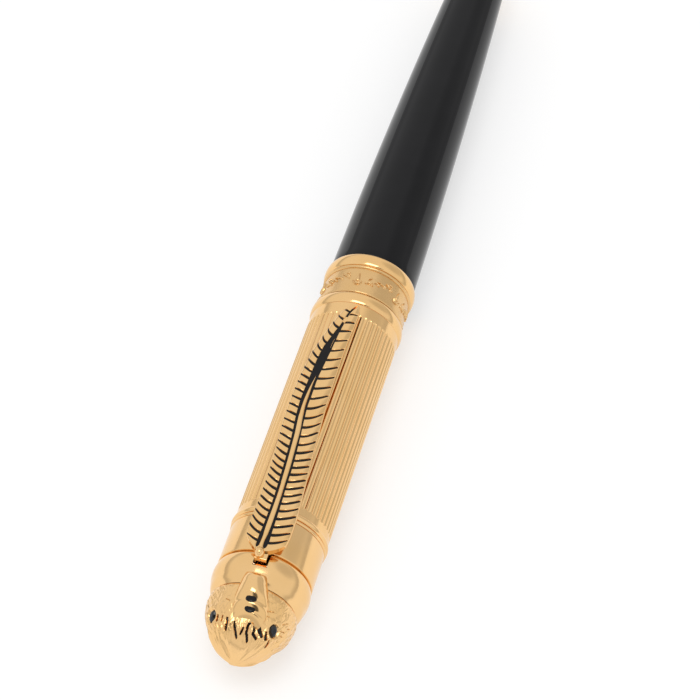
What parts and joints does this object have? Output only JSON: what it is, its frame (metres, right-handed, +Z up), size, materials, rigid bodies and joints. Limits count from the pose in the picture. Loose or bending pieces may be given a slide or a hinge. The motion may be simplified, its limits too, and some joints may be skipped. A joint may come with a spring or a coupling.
{
  "type": "rollerball pen",
  "caption": "Capped rollerball pen with an eagle-head finial, a fluted cap, a feather-shaped sprung clip and a tapering lacquered barrel.",
  "frame": {"origin": "middle of the capped pen's length and width, at the surface that it lies on", "axes": "+X along the pen from the head to the tail, +Z up towards the clip, +Y to the clip's left when the tail points away"},
  "size_m": [0.1396, 0.0136, 0.0156],
  "materials": {
    "gold_plate": "warm yellow gold plate, polished",
    "plain_brass": "turned, unplated",
    "steel": "satin stainless steel",
    "ball_metal": "ground and polished hard metal",
    "black_stone": "faceted and polished black stone",
    "black_enamel": "glossy black enamel",
    "black_lacquer": "deep glossy black lacquer",
    "black_resin": "polished black resin",
    "liner_plastic": "moulded dark plastic",
    "white_plastic": "moulded translucent white plastic",
    "ink_fibre": "ink-soaked fibre"
  },
  "bodies": {
    "barrel": {"barrel_shell": "black_lacquer", "barrel_liner": "plain_brass", "barrel_insert": "plain_brass", "tail_ring": "gold_plate", "tail_finial": "gold_plate", "spring_seat": "white_plastic", "refill_spring": "steel"},
    "refill": {"refill_tube": "white_plastic", "refill_end_plug": "liner_plastic", "ink_reservoir": "ink_fibre", "refill_nose": "white_plastic", "feed_wick": "ink_fibre", "refill_tip": "steel"},
    "ball": {"writing_ball": "ball_metal"},
    "section": {"thread_spigot": "plain_brass", "section_ring": "gold_plate", "grip_section": "black_resin", "snap_ring": "steel", "nose_cone": "gold_plate"},
    "cap": {"cap_tube": "gold_plate", "mouth_ring": "gold_plate", "relief_band": "gold_plate", "band_bead_ring": "gold_plate", "upper_trim_ring": "gold_plate", "clip_band": "gold_plate", "neck_collar": "gold_plate", "cap_liner": "liner_plastic", "cap_plug": "plain_brass", "head_screw": "steel", "eagle_head": "gold_plate", "left_eye": "black_stone", "right_eye": "black_stone", "clip_pin": "steel", "clip_spring": "steel"},
    "clip": {"feather_clip": "gold_plate", "clip_enamel": "black_enamel"}
  },
  "joints": [
    {"name": "refill_advance", "type": "slide", "parent": "barrel", "child": "refill", "axis": [-1, 0, 0], "range_m": [0, 0.0045], "deforming": ["refill_spring"]},
    {"name": "section_turn", "type": "hinge", "parent": "refill", "child": "section", "pos_m": [-0.00275, 0, 0.0068], "axis": [-1, 0, 0], "range_deg": [0, 2160]},
    {"name": "cap_pull", "type": "slide", "parent": "section", "child": "cap", "axis": [-1, 0, 0], "range_m": [0, 0.055]},
    {"name": "clip_lift", "type": "hinge", "parent": "cap", "child": "clip", "pos_m": [-0.0571, 0, 0.01155], "axis": [0, -1, 0], "range_deg": [0, 6], "stiffness_Nm_per_rad": 0.1, "springref_deg": -17.19, "deforming": ["clip_spring"]},
    {"name": "ball_roll", "type": "hinge", "parent": "refill", "child": "ball", "pos_m": [-0.0494, 0, 0.0068], "axis": [0, 1, 0], "continuous": true}
  ],
  "couplings": [
    {"joint": "refill_advance", "follows": "section_turn", "m_per_rad": 0.00011937}
  ]
}
